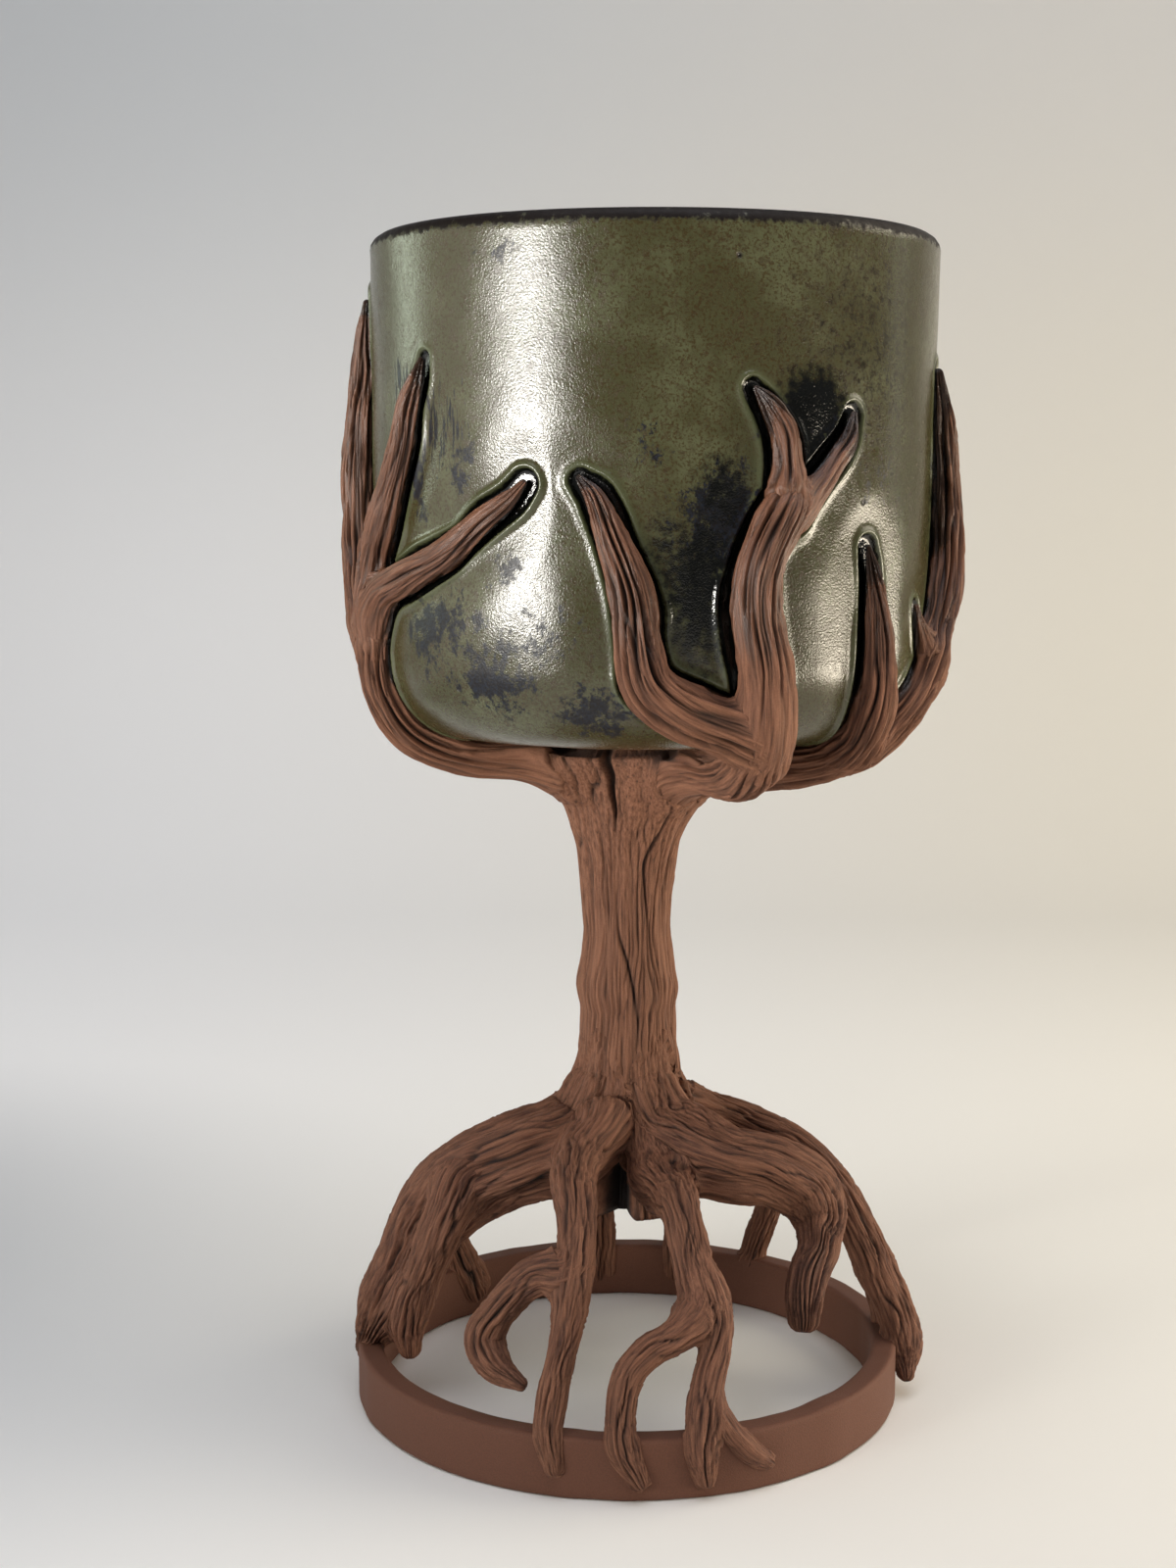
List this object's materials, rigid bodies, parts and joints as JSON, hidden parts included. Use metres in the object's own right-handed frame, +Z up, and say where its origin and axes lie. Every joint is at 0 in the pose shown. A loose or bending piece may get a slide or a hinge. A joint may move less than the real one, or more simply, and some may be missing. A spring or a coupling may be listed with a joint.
{
  "type": "ceramic chalice",
  "caption": "Stoneware chalice: an open glazed cup held by the branches of an unglazed clay tree, whose slim trunk spreads into arching roots that stand on a flat ring.",
  "frame": {"origin": "on the table, under the middle of the whole chalice's box; the trunk and ring stand about 3 mm to the left of it and 2 mm behind it", "axes": "+Z up; the front with the two front branches faces -Y, and +X is to the right of someone who looks at the front"},
  "size_m": [0.0984, 0.0958, 0.188],
  "materials": {
    "glazed_stoneware": "glossy olive glaze, mottled with brown and blue-black where the iron shows",
    "bare_stoneware": "unglazed red-brown stoneware, carved with fine bark grooves"
  },
  "bodies": {
    "root": {"cup": "glazed_stoneware", "trunk": "bare_stoneware", "foot_ring": "bare_stoneware", "left_limb": "bare_stoneware", "left_outer_branch": "bare_stoneware", "left_middle_branch": "bare_stoneware", "left_inner_branch": "bare_stoneware", "front_limb": "bare_stoneware", "front_main_branch": "bare_stoneware", "front_left_tip": "bare_stoneware", "front_right_tip": "bare_stoneware", "front_left_branch": "bare_stoneware", "right_limb": "bare_stoneware", "right_inner_branch": "bare_stoneware", "right_twig": "bare_stoneware", "back_right_limb": "bare_stoneware", "back_right_outer_branch": "bare_stoneware", "back_right_inner_branch": "bare_stoneware", "back_left_limb": "bare_stoneware", "back_left_upper_branch": "bare_stoneware", "back_left_side_branch": "bare_stoneware", "left_root": "bare_stoneware", "left_root_fork": "bare_stoneware", "front_left_root": "bare_stoneware", "hooked_rootlet": "bare_stoneware", "front_right_root": "bare_stoneware", "front_right_root_left_fork": "bare_stoneware", "front_right_root_right_fork": "bare_stoneware", "side_rootlet": "bare_stoneware", "right_root": "bare_stoneware", "back_right_root": "bare_stoneware", "back_right_rootlet": "bare_stoneware", "far_right_root": "bare_stoneware", "far_middle_root": "bare_stoneware", "far_root": "bare_stoneware", "far_left_root": "bare_stoneware"}
  },
  "joints": []
}
